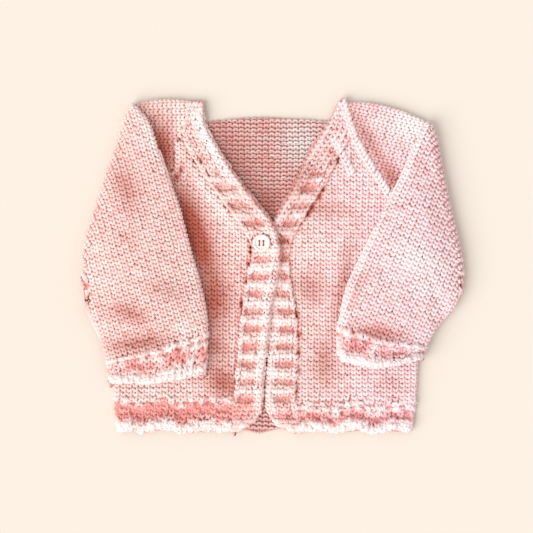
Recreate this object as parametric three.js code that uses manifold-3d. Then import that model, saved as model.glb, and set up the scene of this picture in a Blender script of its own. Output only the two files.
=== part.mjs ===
// Hand-knitted baby cardigan with a V neck and raglan sleeves.
// It lies flat on its back, each sleeve turned forward over its front.
// Millimetres, +Z up, wearer's right side at -X, hem towards -Y.
import * as THREE from 'three';
import { mergeVertices } from 'three/addons/utils/BufferGeometryUtils.js';
import Module from 'manifold-3d';

// Driving dimensions
const CLOTH = 2.2; // knitted wall
const GAP = 0.3; // clear space between layers
const SEAM = 0.2; // each panel stands back this far from a seam line
const EDGE = 2.3; // radius of a rounded cloth edge
const FRONT_Z = CLOTH + GAP; // underside of the fronts and bands
const OVER_Z = 2 * FRONT_Z; // underside of the buttoned band where it overlaps
const CREASE_Z = OVER_Z - GAP / 2; // height of the line a sleeve is folded about
const RIM = 0.8; // first step in from a rounded edge
const RIDGE = { pitch: 11.9, top: 59.2, rise: 1.5, plain: 0.6 }; // level ridges on the bands
const BORDER = { rise: 1.3, groove: 0.5, edgeAt: 4.2, grooveAt: 11.2, bumpsAt: 17, half: 2.8 };
const HEM = { y: -111.4, wave: 1.1, run: 4.1, sway: 0.7, swayRun: 6.7, shift: 0.6 };
const BAND_WIDTH = 18;
const LAP = { top: 42, bottom: -56, climb: 9, run: 8.2 }; // right band over the left one
const SLEEVE_PUFF = 2.2; // air in the middle of a folded sleeve
const SAG = { depth: 2.6, clear: 3, run: 15 }; // a sleeve sinks beyond what it lies on
const RIB = { rise: 0.7, from: 4.5, half: 2.6 }; // along each V, outside the slits
const BUTTON_RADIUS = 5.9;
const BUTTON_THICK = 2.4;
const BUTTON_AT = { x: -7.5, y: 16.1 };
const BUTTON_HOLE = { radius: 0.8, offset: 1.35 };

const PINK = new THREE.MeshStandardMaterial({ color: 0xf2c7c1, roughness: 0.75, metalness: 0 });
const PEARL = new THREE.MeshStandardMaterial({ color: 0xf7ece4, roughness: 0.25, metalness: 0 });

// Raglan seams from the neck down to the underarm, one row per point
const RAGLAN_RIGHT = [
  { x: -56.8, y: 112.2 },
  { x: -58.8, y: 102.7 },
  { x: -60.8, y: 96.4 },
  { x: -62.6, y: 90.2 },
  { x: -64.2, y: 83.0 },
  { x: -65.8, y: 75.5 },
  { x: -69.6, y: 60.5 },
  { x: -76.4, y: 45.0 },
  { x: -85.0, y: 31.5 },
  { x: -94.2, y: 21.1 },
];
const RAGLAN_LEFT = [
  { x: 50.7, y: 111.5 },
  { x: 52.9, y: 102.7 },
  { x: 54.5, y: 96.6 },
  { x: 56.2, y: 90.6 },
  { x: 58.2, y: 84.4 },
  { x: 60.6, y: 78.0 },
  { x: 65.4, y: 67.0 },
  { x: 72.6, y: 54.0 },
  { x: 82.6, y: 37.5 },
  { x: 94.2, y: 21.1 },
];

// Side edges of the body from underarm to hem
const SIDE_RIGHT = [
  { x: -94.2, y: 21.1 },
  { x: -98.5, y: 0.0 },
  { x: -102.0, y: -28.0 },
  { x: -105.2, y: -57.0 },
  { x: -107.4, y: -81.0 },
  { x: -106.8, y: -98.0 },
  { x: -104.4, y: -112.0 },
];
const SIDE_LEFT = [
  { x: 94.2, y: 21.1 },
  { x: 97.4, y: 0.0 },
  { x: 98.8, y: -28.0 },
  { x: 98.6, y: -57.0 },
  { x: 97.6, y: -81.0 },
  { x: 96.6, y: -98.0 },
  { x: 93.6, y: -112.0 },
];

// Front bands from the shoulder to the hem: the free edge and the line of
// slits where the band meets its front, one row per section across the band
const BAND_RIGHT = [
  { freeX: -46.6, freeY: 111.5, seamX: -56.8, seamY: 112.2 },
  { freeX: -46.2, freeY: 104.0, seamX: -58.8, seamY: 102.7 },
  { freeX: -45.0, freeY: 96.0, seamX: -60.6, seamY: 96.6 },
  { freeX: -41.4, freeY: 89.4, seamX: -61.6, seamY: 90.4 },
  { freeX: -38.2, freeY: 84.0, seamX: -59.4, seamY: 82.6 },
  { freeX: -34.3, freeY: 77.5, seamX: -54.2, seamY: 72.6 },
  { freeX: -25.8, freeY: 64.4, seamX: -43.2, seamY: 56.2 },
  { freeX: -17.3, freeY: 53.0, seamX: -33.2, seamY: 42.4 },
  { freeX: -9.6, freeY: 43.2, seamX: -25.4, seamY: 31.8 },
  { freeX: -2.6, freeY: 34.4, seamX: -19.2, seamY: 22.6 },
  { freeX: 2.8, freeY: 25.6, seamX: -15.6, seamY: 15.8 },
  { freeX: 5.4, freeY: 15.0, seamX: -14.4, seamY: 8.6 },
  { freeX: 5.6, freeY: 4.0, seamX: -15.8, seamY: 2.0 },
  { freeX: 3.6, freeY: -7.0, seamX: -17.8, seamY: -8.0 },
  { freeX: 0.7, freeY: -22.0, seamX: -20.4, seamY: -23.0 },
  { freeX: -1.7, freeY: -40.0, seamX: -22.6, seamY: -41.0 },
  { freeX: -3.9, freeY: -57.0, seamX: -24.0, seamY: -57.6 },
  { freeX: -5.8, freeY: -74.0, seamX: -25.2, seamY: -74.4 },
  { freeX: -6.5, freeY: -90.0, seamX: -26.2, seamY: -90.0 },
  { freeX: -8.0, freeY: -97.6, seamX: -26.8, seamY: -97.6 },
  { freeX: -11.8, freeY: -103.6, seamX: -27.2, seamY: -103.6 },
  { freeX: -18.6, freeY: -108.8, seamX: -27.6, seamY: -108.8 },
  { freeX: -25.2, freeY: -111.4, seamX: -28.0, seamY: -111.6 },
];
const BAND_LEFT = [
  { freeX: 43.8, freeY: 110.6, seamX: 50.7, seamY: 111.5 },
  { freeX: 40.4, freeY: 102.6, seamX: 52.8, seamY: 102.7 },
  { freeX: 36.4, freeY: 95.6, seamX: 54.2, seamY: 96.6 },
  { freeX: 32.2, freeY: 90.0, seamX: 54.6, seamY: 90.6 },
  { freeX: 28.8, freeY: 85.4, seamX: 51.4, seamY: 84.0 },
  { freeX: 25.2, freeY: 80.0, seamX: 46.2, seamY: 75.4 },
  { freeX: 20.4, freeY: 70.0, seamX: 39.4, seamY: 62.6 },
  { freeX: 15.6, freeY: 59.0, seamX: 32.8, seamY: 50.4 },
  { freeX: 9.8, freeY: 47.6, seamX: 25.4, seamY: 38.8 },
  { freeX: 3.6, freeY: 36.8, seamX: 18.6, seamY: 28.2 },
  { freeX: -1.4, freeY: 25.4, seamX: 13.8, seamY: 18.4 },
  { freeX: -4.0, freeY: 13.6, seamX: 11.8, seamY: 9.0 },
  { freeX: -4.6, freeY: 1.0, seamX: 11.8, seamY: -1.0 },
  { freeX: -4.2, freeY: -14.0, seamX: 13.8, seamY: -14.6 },
  { freeX: -3.6, freeY: -29.0, seamX: 16.2, seamY: -29.0 },
  { freeX: -3.2, freeY: -43.0, seamX: 17.4, seamY: -43.0 },
  { freeX: -3.2, freeY: -57.0, seamX: 17.4, seamY: -57.0 },
  { freeX: -4.4, freeY: -73.0, seamX: 16.9, seamY: -73.0 },
  { freeX: -5.2, freeY: -88.0, seamX: 16.2, seamY: -88.0 },
  { freeX: -4.0, freeY: -96.0, seamX: 17.0, seamY: -96.0 },
  { freeX: -1.2, freeY: -102.4, seamX: 17.6, seamY: -102.4 },
  { freeX: 4.8, freeY: -107.6, seamX: 18.4, seamY: -107.6 },
  { freeX: 14.0, freeY: -110.9, seamX: 19.0, seamY: -111.2 },
];

// Back: sections from the hem (foot) to the top edge (head), left to right.
// The head runs up one raglan, along the neck and down the other.
const NECK = [
  { x: -56.6, y: 111.6 },
  { x: -47.4, y: 111.4 },
  { x: -46.2, y: 98.2 },
  { x: -36.0, y: 99.4 },
  { x: -20.0, y: 101.0 },
  { x: 0.0, y: 101.3 },
  { x: 18.0, y: 100.4 },
  { x: 38.6, y: 98.6 },
  { x: 44.6, y: 110.4 },
  { x: 50.5, y: 111.0 },
];

// A sleeve's lines, each from the top-of-arm fold to the underarm fold:
// the crease it is turned over along, then two edges from crease to cuff
const SLEEVE_RIGHT = {
  crease: [
    { x: -93.2, y: 110.2 },
    { x: -99.4, y: 87.0 },
    { x: -107.4, y: 63.2 },
    { x: -115.4, y: 39.6 },
    { x: -122.4, y: 15.2 },
    { x: -125.2, y: -7.0 },
    { x: -124.6, y: -24.5 },
  ],
  inner: [
    { x: -93.2, y: 110.2 },
    { x: -82.6, y: 96.6 },
    { x: -76.8, y: 80.6 },
    { x: -69.4, y: 60.0 },
    { x: -61.2, y: 36.4 },
    { x: -55.2, y: 12.6 },
    { x: -48.6, y: -10.0 },
    { x: -44.4, y: -32.0 },
    { x: -43.2, y: -52.0 },
    { x: -45.6, y: -71.4 },
  ],
  under: [
    { x: -124.6, y: -24.5 },
    { x: -125.2, y: -29.2 },
    { x: -122.4, y: -36.0 },
    { x: -118.4, y: -44.9 },
    { x: -115.2, y: -53.7 },
    { x: -112.4, y: -63.2 },
    { x: -109.0, y: -77.4 },
  ],
  cuffBow: 3.4,
  topRise: 2.4,
};
const SLEEVE_LEFT = {
  crease: [
    { x: 104.4, y: 98.0 },
    { x: 108.8, y: 74.0 },
    { x: 113.8, y: 48.6 },
    { x: 119.2, y: 25.0 },
    { x: 123.6, y: 4.0 },
    { x: 125.2, y: -10.0 },
    { x: 124.8, y: -19.6 },
  ],
  inner: [
    { x: 104.4, y: 98.0 },
    { x: 98.6, y: 89.1 },
    { x: 93.0, y: 76.8 },
    { x: 87.4, y: 63.9 },
    { x: 81.3, y: 51.7 },
    { x: 73.3, y: 36.7 },
    { x: 65.6, y: 20.0 },
    { x: 58.6, y: 6.0 },
    { x: 51.4, y: -9.0 },
    { x: 46.6, y: -25.8 },
    { x: 43.6, y: -42.0 },
    { x: 43.6, y: -54.0 },
    { x: 47.4, y: -63.0 },
  ],
  under: [
    { x: 124.8, y: -19.6 },
    { x: 123.8, y: -25.2 },
    { x: 118.9, y: -32.0 },
    { x: 112.2, y: -39.4 },
    { x: 106.6, y: -48.3 },
    { x: 103.2, y: -54.4 },
    { x: 100.5, y: -61.4 },
  ],
  cuffBow: 4.6,
  topRise: 4.1,
};

const smooth = (x) => {
  const t = Math.min(Math.max(x, 0), 1);
  return t * t * (3 - 2 * t);
};
const mix = (a, b, t) => a + (b - a) * t;
const flat = (rows) => new THREE.SplineCurve(rows.map((r) => new THREE.Vector2(r.x, r.y)));

// Fall of a rounded edge at a distance in from it
const roundOff = (distance, height) => {
  const out = 1 - Math.min(Math.max(distance, 0) / EDGE, 1);
  return height * (1 - Math.sqrt(1 - out * out));
};

// Ridge, groove and edge ridge of a border at a distance up from its edge
const border = (up) => {
  const hump = (at) => Math.exp(-(((up - at) / BORDER.half) ** 2));
  return BORDER.rise * (hump(BORDER.edgeAt) + hump(BORDER.bumpsAt))
    - BORDER.groove * hump(BORDER.grooveAt);
};

// Wavy bottom edge of the hem
const hemLine = (x) => HEM.y + HEM.wave * Math.sin(x / HEM.run + HEM.shift)
  + HEM.sway * Math.sin(x / HEM.swayRun);

function solid(points, faces) {
  const geometry = new THREE.BufferGeometry();
  geometry.setAttribute('position', new THREE.Float32BufferAttribute(points.flat(), 3));
  geometry.setIndex(faces.flat());
  geometry.computeVertexNormals();
  return geometry;
}

// Closed slab between a top grid and a bottom grid of the same size
function slab(across, along, topAt, bottomAt) {
  const points = [];
  const faces = [];
  for (const at of [topAt, bottomAt]) {
    for (let v = 0; v < along; v++) {
      for (let u = 0; u < across; u++) points.push(at(u, v));
    }
  }
  const layer = across * along;
  const quad = (a, b, c, d) => faces.push([a, b, c], [a, c, d]);
  for (let v = 0; v + 1 < along; v++) {
    for (let u = 0; u + 1 < across; u++) {
      const a = v * across + u;
      quad(a, a + 1, a + across + 1, a + across);
      quad(layer + a + across, layer + a + across + 1, layer + a + 1, layer + a);
    }
  }
  const rim = [];
  for (let u = 0; u + 1 < across; u++) rim.push(u);
  for (let v = 0; v + 1 < along; v++) rim.push(v * across + across - 1);
  for (let u = across - 1; u > 0; u--) rim.push((along - 1) * across + u);
  for (let v = along - 1; v > 0; v--) rim.push(v * across);
  rim.forEach((a, i) => {
    const b = rim[(i + 1) % rim.length];
    quad(a, layer + a, layer + b, b);
  });
  return solid(points, faces);
}

// Turns the faces over where a grid runs the other way round
function facingOut(geometry) {
  const p = geometry.getAttribute('position');
  const index = geometry.getIndex().array;
  const [a, b, c] = [new THREE.Vector3(), new THREE.Vector3(), new THREE.Vector3()];
  let volume = 0;
  for (let i = 0; i < index.length; i += 3) {
    a.fromBufferAttribute(p, index[i]);
    b.fromBufferAttribute(p, index[i + 1]);
    c.fromBufferAttribute(p, index[i + 2]);
    volume += a.dot(b.cross(c));
  }
  if (volume < 0) {
    for (let i = 0; i < index.length; i += 3) {
      [index[i], index[i + 1]] = [index[i + 1], index[i]];
    }
    geometry.computeVertexNormals();
  }
  return geometry;
}

function piece(name, geometry, material) {
  const mesh = new THREE.Mesh(facingOut(geometry), material);
  mesh.name = name;
  return mesh;
}

// Back panel
function backPanel() {
  const mirrorOrder = [...RAGLAN_RIGHT].reverse();
  const slope = mirrorOrder.length - 1;
  const heads = [...mirrorOrder.slice(0, slope), ...NECK, ...RAGLAN_LEFT.slice(1)];
  const count = heads.length;
  const columns = heads.map((head, i) => {
    const x = mix(SIDE_RIGHT.at(-1).x, SIDE_LEFT.at(-1).x, i / (count - 1));
    return { foot: { x, y: hemLine(x) }, head };
  });
  columns.forEach((c, i) => {
    const inward = i < slope ? SEAM : i >= count - slope ? -SEAM : 0;
    c.head = { x: c.head.x + inward, y: c.head.y };
  });
  const sides = [flat(SIDE_RIGHT), flat(SIDE_LEFT)];
  const rows = [0, 0.015, 0.05, 0.2, 0.4, 0.6, 0.8, 0.95, 0.985, 1];
  const at = (u, v) => {
    const { foot, head } = columns[u];
    const t = rows[v];
    const straight = { x: mix(foot.x, head.x, t), y: mix(foot.y, head.y, t) };
    const side = u < count / 2 ? sides[0] : sides[1];
    const rank = Math.min(u, count - 1 - u) / 6;
    const bow = side.getPoint(1 - t).x - mix(side.getPoint(1).x, side.getPoint(0).x, t);
    return { x: straight.x + bow * smooth(1 - rank), y: straight.y };
  };
  const rimmed = (u, v) => {
    const onEdge = u === 0 || u === count - 1 || v === 0 || v === rows.length - 1;
    return onEdge ? 0.9 : v === 1 || v === rows.length - 2 ? 0.25 : 0;
  };
  const topAt = (u, v) => {
    const p = at(u, v);
    return [p.x, p.y, CLOTH];
  };
  const bottomAt = (u, v) => {
    const p = at(u, v);
    return [p.x, p.y, rimmed(u, v)];
  };
  return slab(count, rows.length, topAt, bottomAt);
}

// Lines of one half of the body, shared by its band and its front
function half(bandRows, raglanRows, sideRows) {
  const free = flat(bandRows.map((r) => ({ x: r.freeX, y: r.freeY })));
  const seam = flat(bandRows.map((r) => ({ x: r.seamX, y: r.seamY })));
  const outer = flat([...raglanRows, ...sideRows.slice(1)]);
  return { free, seam, outer };
}
const RIGHT = half(BAND_RIGHT, RAGLAN_RIGHT, SIDE_RIGHT);
const LEFT = half(BAND_LEFT, RAGLAN_LEFT, SIDE_LEFT);

// Where a line that runs down the body crosses a height
function crossing(curve, y) {
  let low = 0;
  let high = 1;
  for (let i = 0; i < 24; i++) {
    const t = (low + high) / 2;
    if (curve.getPoint(t).y > y) low = t;
    else high = t;
  }
  return curve.getPoint(low).x;
}

// Front panel between the outer edge and the band's line of slits, in level
// sections from its point at the raglan down to the hem
const FRONT_LEVELS = [
  87.4, 85, 81.5, 77, 71, 64, 56, 47, 38, 29, 21, 12, 1, -11, -24, -38, -52, -66, -79, -89,
  -92, -94.4, -96.8, -99.6, -102.4, -105.2, -107.6, -109.6, -111.4,
];
function frontPanel({ seam, outer }) {
  const last = FRONT_LEVELS.length - 1;
  const lines = FRONT_LEVELS.map((y) => {
    const level = Math.max(y, HEM.y + 0.2);
    return { y, out: crossing(outer, level), inn: crossing(seam, level) };
  });
  const place = (u, v) => {
    const { y, out, inn } = lines[v];
    const width = Math.abs(inn - out);
    const side = [SEAM, RIM, EDGE].map((d) => d / width);
    const ribs = [RIB.from + RIB.half, RIB.from, RIB.from - RIB.half].map((d) => 1 - d / width);
    const wide = [...side, 0.22, 0.44, 0.66, ...ribs, 1 - SEAM / width];
    const narrow = wide.map((_, i) => mix(side[0], 1 - side[0], i / (wide.length - 1)));
    const t = mix(narrow[u], wide[u], smooth((width - 16) / 16));
    const x = mix(out, inn, t);
    const below = smooth((-100 - y) / 11.4);
    return { x, y: y + (hemLine(x) - HEM.y) * below, fromSide: t * width, t, width };
  };
  const topAt = (u, v) => {
    const { x, y, fromSide, t, width } = place(u, v);
    const up = v === last ? 0 : y - hemLine(x);
    const onSide = smooth((SIDE_RIGHT[0].y - y) / 4);
    const fall = Math.max(onSide * roundOff(fromSide, CLOTH * 0.75), roundOff(up, CLOTH * 0.6));
    const fromSlits = (1 - t) * width;
    const besideV = smooth((y - 8) / 8) * smooth((width - 10) / 14);
    const rib = besideV * RIB.rise * Math.exp(-(((fromSlits - RIB.from) / RIB.half) ** 2));
    return [x, y, FRONT_Z + CLOTH + border(up) * smooth(fromSide / 4) + rib - fall];
  };
  const bottomAt = (u, v) => {
    const { x, y } = place(u, v);
    return [x, y, FRONT_Z];
  };
  return slab(10, lines.length, topAt, bottomAt);
}

// Front band in level sections, four to each of its puffy ridges
function band({ free, seam }, over) {
  const quarter = RIDGE.pitch / 4;
  const top = free.getPoint(0).y;
  const levels = [top];
  for (let y = RIDGE.top + 17 * quarter; y > -95; y -= quarter) levels.push(y);
  levels.push(-96.8, -99.6, -102.4, -105.2, -107.6, -109.6, HEM.y + 0.1);
  const lines = levels.map((y) => ({ y, out: crossing(free, y), inn: crossing(seam, y) }));
  const steps = [0, 0.07, 0.2, 0.42, 0.62, 0.84, 1];
  const place = (u, v) => {
    const { y, out, inn } = lines[v];
    const t = steps[u] * (1 - SEAM / Math.abs(inn - out));
    return { x: mix(out, inn, t), y, t };
  };
  // the buttoned band climbs over the other one where they overlap
  const lift = (x, y) => {
    if (!over) return 0;
    const from = crossing(LEFT.free, y);
    const reach = smooth((crossing(RIGHT.free, y) - from + 3) / 2.4);
    const rise = smooth((x - from + LAP.climb) / LAP.run);
    return (OVER_Z - FRONT_Z) * rise * reach * smooth((LAP.top - y) / 6);
  };
  const covered = (x, y) => {
    if (over || y > LAP.top - 6 || y < LAP.bottom) return 0;
    return smooth((crossing(RIGHT.free, y) - x + 8) / 4.6);
  };
  const topAt = (u, v) => {
    const { x, y, t } = place(u, v);
    const crest = 0.5 + 0.5 * Math.cos((2 * Math.PI * (y - RIDGE.top)) / RIDGE.pitch);
    const wave = mix(crest, RIDGE.plain, smooth((y - RIDGE.top - 2) / 5));
    const dip = (1 - wave) * smooth((t - 0.1) / 0.25);
    const across = smooth(t / 0.12) * smooth((1.04 - t) / 0.22);
    const up = y - hemLine(x);
    const body = smooth((up - 16) / 6) * smooth((top - y) / 8);
    const nearButton = Math.hypot(x - BUTTON_AT.x, y - BUTTON_AT.y);
    const pressed = over ? smooth((nearButton - BUTTON_RADIUS) / 4) : 1;
    const ridge = RIDGE.rise * (1 - dip) * across * body * pressed;
    const hem = border(up) * (1 - body) * across;
    const edge = roundOff(t * BAND_WIDTH, CLOTH * 0.6);
    const raised = (ridge + hem) * (1 - covered(x, y)) - edge;
    return [x, y, FRONT_Z + CLOTH + lift(x, y) + raised];
  };
  const bottomAt = (u, v) => {
    const { x, y } = place(u, v);
    return [x, y, FRONT_Z + lift(x, y)];
  };
  return slab(steps.length, lines.length, topAt, bottomAt);
}

// Sleeve: a flattened tube, lying outward from the raglan, turned over
// along its crease and laid back across the front
function sleeve(shape, raglanRows, sideRows, outward) {
  const raglan = flat(raglanRows);
  const crease = flat(shape.crease);
  const inner = flat(shape.inner);
  const under = flat(shape.under);
  const cuffLength = (inner.getLength() + under.getLength()) / 2;
  const side = flat(sideRows);
  const elbow = shape.crease.at(-1);
  const arm = raglanRows.at(-1);
  const armLine = new THREE.Vector2(elbow.x - arm.x, elbow.y - arm.y).normalize();

  const sections = [];
  for (const away of [0, 0.5]) sections.push({ kind: 'flat', away, turn: 0 });
  for (let i = 0; i <= 6; i++) sections.push({ kind: 'turn', turn: (Math.PI * i) / 6 });
  for (const on of [0.05, 0.13, 0.23, 0.34, 0.45, 0.56, 0.67, 0.77]) {
    sections.push({ kind: 'over', on, turn: Math.PI });
  }
  for (const up of [21, 19, 17, 14.6, 11.2, 8, 5.6, 3, 1, 0]) {
    sections.push({ kind: 'over', on: 1 - up / cuffLength, up, turn: Math.PI });
  }

  const creaseNormal = (e) => {
    const t = crease.getTangentAt(e);
    const n = new THREE.Vector2(t.y, -t.x);
    return Math.sign(n.x) === outward ? n : n.negate();
  };
  const straight = new THREE.LineCurve(crease.getPoint(0), crease.getPoint(1));
  const baseAt = (section, e) => {
    if (section.kind === 'turn') return crease.getPointAt(e);
    if (section.kind === 'flat') {
      const p = raglan.getPointAt(e).lerp(crease.getPointAt(e), section.away);
      p.x += section.away === 0 ? outward * (SEAM + smooth((e - 0.75) * 4)) : 0;
      p.y += shape.topRise * 4 * section.away * (1 - section.away) * smooth(1 - e * 4);
      return p;
    }
    const { on } = section;
    const p = inner.getPoint(on).lerp(under.getPoint(on), e);
    const bulge = crease.getPointAt(e).sub(straight.getPoint(e));
    p.addScaledVector(bulge, (1 - on) ** 2);
    p.y -= shape.cuffBow * Math.sin(Math.PI * e) * smooth((on - 0.7) / 0.3);
    return p;
  };
  // how far a turned-over point hangs outside the body and the arm below it
  const sag = (x, y) => {
    const clamped = Math.min(y, arm.y);
    const beside = outward * (x - crossing(side, clamped));
    const below = outward * (x - arm.x) * armLine.y - (y - arm.y) * Math.abs(armLine.x);
    return SAG.depth * smooth((Math.min(beside, below) - SAG.clear) / SAG.run);
  };
  const point = (section, e, level) => {
    const base = baseAt(section, e);
    const radius = CREASE_Z - level;
    const tuck = 1 - 0.7 * smooth((e - 0.82) / 0.18) - 0.45 * smooth((0.1 - e) / 0.1);
    const out = radius * Math.sin(section.turn) * tuck;
    const p = base.addScaledVector(creaseNormal(e), out);
    const drop = section.kind === 'over' ? sag(p.x, p.y) : 0;
    return [p.x, p.y, CREASE_Z - radius * Math.cos(section.turn) - drop];
  };

  // ring round the flattened tube: lower layer out, upper layer back
  const ring = (section, inset) => {
    const width = baseAt(section, 0).distanceTo(baseAt(section, 1));
    const e0 = inset / width;
    const rim = [0, RIM, EDGE].map((d) => e0 + (d * (1 - inset / CLOTH * 0.6)) / width);
    const across = [...rim, 0.22, 0.4, 0.58, 0.76, 0.88, ...rim.map((e) => 1 - e).reverse()];
    const half = (FRONT_Z + CLOTH) / 2;
    const thick = inset > 0 ? GAP / 2 : half;
    const over = section.kind === 'over' ? smooth(section.on / 0.25) : 0;
    const levels = (i) => {
      const e = across[i];
      const nearest = Math.min(i, across.length - 1 - i);
      const edge = [0, 0.72, 1][Math.min(nearest, 2)];
      const air = over * SLEEVE_PUFF * Math.sin(Math.PI * e) ** 0.8;
      const rise = inset > 0 ? 0 : border(section.up ?? 99) * smooth(nearest / 2);
      return { e, low: half - thick * edge - (air + rise) * edge, high: half + thick * edge };
    };
    const loop = across.map((_, i) => point(section, levels(i).e, levels(i).low));
    for (let i = across.length - 2; i > 0; i--) {
      loop.push(point(section, levels(i).e, levels(i).high));
    }
    return loop;
  };
  const outside = sections.map((s) => ring(s, 0));
  const inside = sections.map((s) => ring(s, CLOTH));
  const n = outside[0].length;
  const points = [...outside.flat(), ...inside.flat()];
  const faces = [];
  const quad = (a, b, c, d) => faces.push([a, b, c], [a, c, d]);
  const shift = n * sections.length;
  for (let k = 0; k + 1 < sections.length; k++) {
    for (let j = 0; j < n; j++) {
      const next = (j + 1) % n;
      const [a, b] = [k * n + j, k * n + next];
      quad(a, b, b + n, a + n);
      quad(shift + a + n, shift + b + n, shift + b, shift + a);
    }
  }
  const end = (sections.length - 1) * n;
  for (let j = 0; j < n; j++) {
    const next = (j + 1) % n;
    quad(next, j, shift + j, shift + next);
    quad(end + j, end + next, shift + end + next, shift + end + j);
  }
  return solid(points, faces);
}

// Four-hole button with a raised rim
async function button() {
  const r = BUTTON_RADIUS;
  const h = BUTTON_THICK;
  const profile = [
    [0, 0], [r * 0.6, 0], [r - 0.5, 0.5], [r, 1.1], [r, 1.7], [r - 0.5, h],
    [r - 1.3, h], [r - 2.1, h - 0.7], [0, h - 0.7],
  ].map(([x, z]) => new THREE.Vector2(x, z));
  const disc = new THREE.LatheGeometry(profile, 28).rotateX(Math.PI / 2);
  const wasm = await Module();
  wasm.setup();
  const toSolid = (geometry) => {
    const g = geometry.clone();
    g.deleteAttribute('normal');
    g.deleteAttribute('uv');
    const merged = facingOut(mergeVertices(g, 1e-4));
    const vertProperties = new Float32Array(merged.getAttribute('position').array);
    const triVerts = new Uint32Array(merged.getIndex().array);
    return new wasm.Manifold(new wasm.Mesh({ numProp: 3, vertProperties, triVerts }));
  };
  let body = toSolid(disc);
  for (const [sx, sy] of [[1, 1], [1, -1], [-1, 1], [-1, -1]]) {
    const hole = new THREE.CylinderGeometry(BUTTON_HOLE.radius, BUTTON_HOLE.radius, h * 3, 10);
    hole.rotateX(Math.PI / 2);
    hole.translate(sx * BUTTON_HOLE.offset, sy * BUTTON_HOLE.offset, 0);
    body = body.subtract(toSolid(hole));
  }
  const { vertProperties, triVerts } = body.getMesh();
  const geometry = new THREE.BufferGeometry();
  geometry.setAttribute('position', new THREE.BufferAttribute(vertProperties, 3));
  geometry.setIndex(new THREE.BufferAttribute(triVerts, 1));
  geometry.computeVertexNormals();
  return geometry;
}

const garment = new THREE.Group();
garment.add(piece('back', backPanel(), PINK));
garment.add(piece('front_right', frontPanel(RIGHT), PINK));
garment.add(piece('front_left', frontPanel(LEFT), PINK));
garment.add(piece('band_right', band(RIGHT, true), PINK));
garment.add(piece('band_left', band(LEFT, false), PINK));
garment.add(piece('sleeve_right', sleeve(SLEEVE_RIGHT, RAGLAN_RIGHT, SIDE_RIGHT, -1), PINK));
garment.add(piece('sleeve_left', sleeve(SLEEVE_LEFT, RAGLAN_LEFT, SIDE_LEFT, 1), PINK));
const fastener = piece('button', await button(), PEARL);
fastener.position.set(BUTTON_AT.x, BUTTON_AT.y, OVER_Z + CLOTH + GAP);
garment.add(fastener);

// The origin is under the middle of the whole garment
garment.updateMatrixWorld(true);
const middle = new THREE.Box3().setFromObject(garment, true).getCenter(new THREE.Vector3());
garment.position.set(-middle.x, -middle.y, 0);

export default garment;
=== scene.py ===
"""Hand-knitted baby cardigan: its cloth, yarn, button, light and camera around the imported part."""

import math

import bpy
import numpy as np
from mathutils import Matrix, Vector


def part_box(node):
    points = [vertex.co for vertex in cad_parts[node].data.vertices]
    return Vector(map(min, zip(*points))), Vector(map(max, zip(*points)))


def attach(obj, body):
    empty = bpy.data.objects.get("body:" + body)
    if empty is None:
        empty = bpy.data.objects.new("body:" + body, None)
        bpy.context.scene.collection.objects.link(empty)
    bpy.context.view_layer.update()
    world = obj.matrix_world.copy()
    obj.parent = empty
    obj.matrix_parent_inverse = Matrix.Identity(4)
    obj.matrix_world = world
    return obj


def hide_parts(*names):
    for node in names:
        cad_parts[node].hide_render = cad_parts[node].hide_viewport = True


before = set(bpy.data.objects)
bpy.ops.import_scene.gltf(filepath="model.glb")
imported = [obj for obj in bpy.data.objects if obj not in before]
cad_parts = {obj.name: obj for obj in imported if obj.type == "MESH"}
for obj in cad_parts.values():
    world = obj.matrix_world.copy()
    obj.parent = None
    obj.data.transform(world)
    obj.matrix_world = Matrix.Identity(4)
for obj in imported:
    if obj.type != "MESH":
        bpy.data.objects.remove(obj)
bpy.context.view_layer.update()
MM = 0.001

CLOTH = 2.2  # knitted wall, millimetres like every size here
FRONT_Z = 2.5
FRONT_TOP = FRONT_Z + CLOTH
OVER_Z = 5.0
CREASE_Z = 4.85
RIDGE = {"pitch": 11.9, "top": 59.2, "rise": 1.5}
HEM_Y = -111.4
BUTTON_AT = np.array([-7.5, 16.1])
SLEEVE_PUFF = 3.2
STITCH_WIDE = 4.1
STITCH_TALL = 2.975
YARN = 1.0  # radius of the yarn
LOOP_DEPTH = 0.9  # how far a loop swings out and in about its own middle
SETTLED = 1.25  # the middle of the loops lies this far under the cloth's outer face
PHOTO_MM = 0.68  # millimetres to one pixel of the photograph
PHOTO_SIDE = 533
LAP_LOW, LAP_HIGH = -56, 36  # the right band covers the left one between these levels
RIDGED_TO = 64.2  # the bands are plain above this level
CLEAR = 20  # height above the hem or cuff where its border has ended

RAGLAN = {
    -1: [(-56.8, 112.2), (-58.8, 102.7), (-60.8, 96.4), (-62.6, 90.2), (-64.2, 83.0),
         (-65.8, 75.5), (-69.6, 60.5), (-76.4, 45.0), (-85.0, 31.5), (-94.2, 21.1)],
    1: [(50.7, 111.5), (52.9, 102.7), (54.5, 96.6), (56.2, 90.6), (58.2, 84.4),
        (60.6, 78.0), (65.4, 67.0), (72.6, 54.0), (82.6, 37.5), (94.2, 21.1)],
}
SIDE = {
    -1: [(-94.2, 21.1), (-98.5, 0.0), (-102.0, -28.0), (-105.2, -57.0), (-107.4, -81.0),
         (-106.8, -98.0), (-104.4, -112.0)],
    1: [(94.2, 21.1), (97.4, 0.0), (98.8, -28.0), (98.6, -57.0), (97.6, -81.0),
        (96.6, -98.0), (93.6, -112.0)],
}
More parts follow.
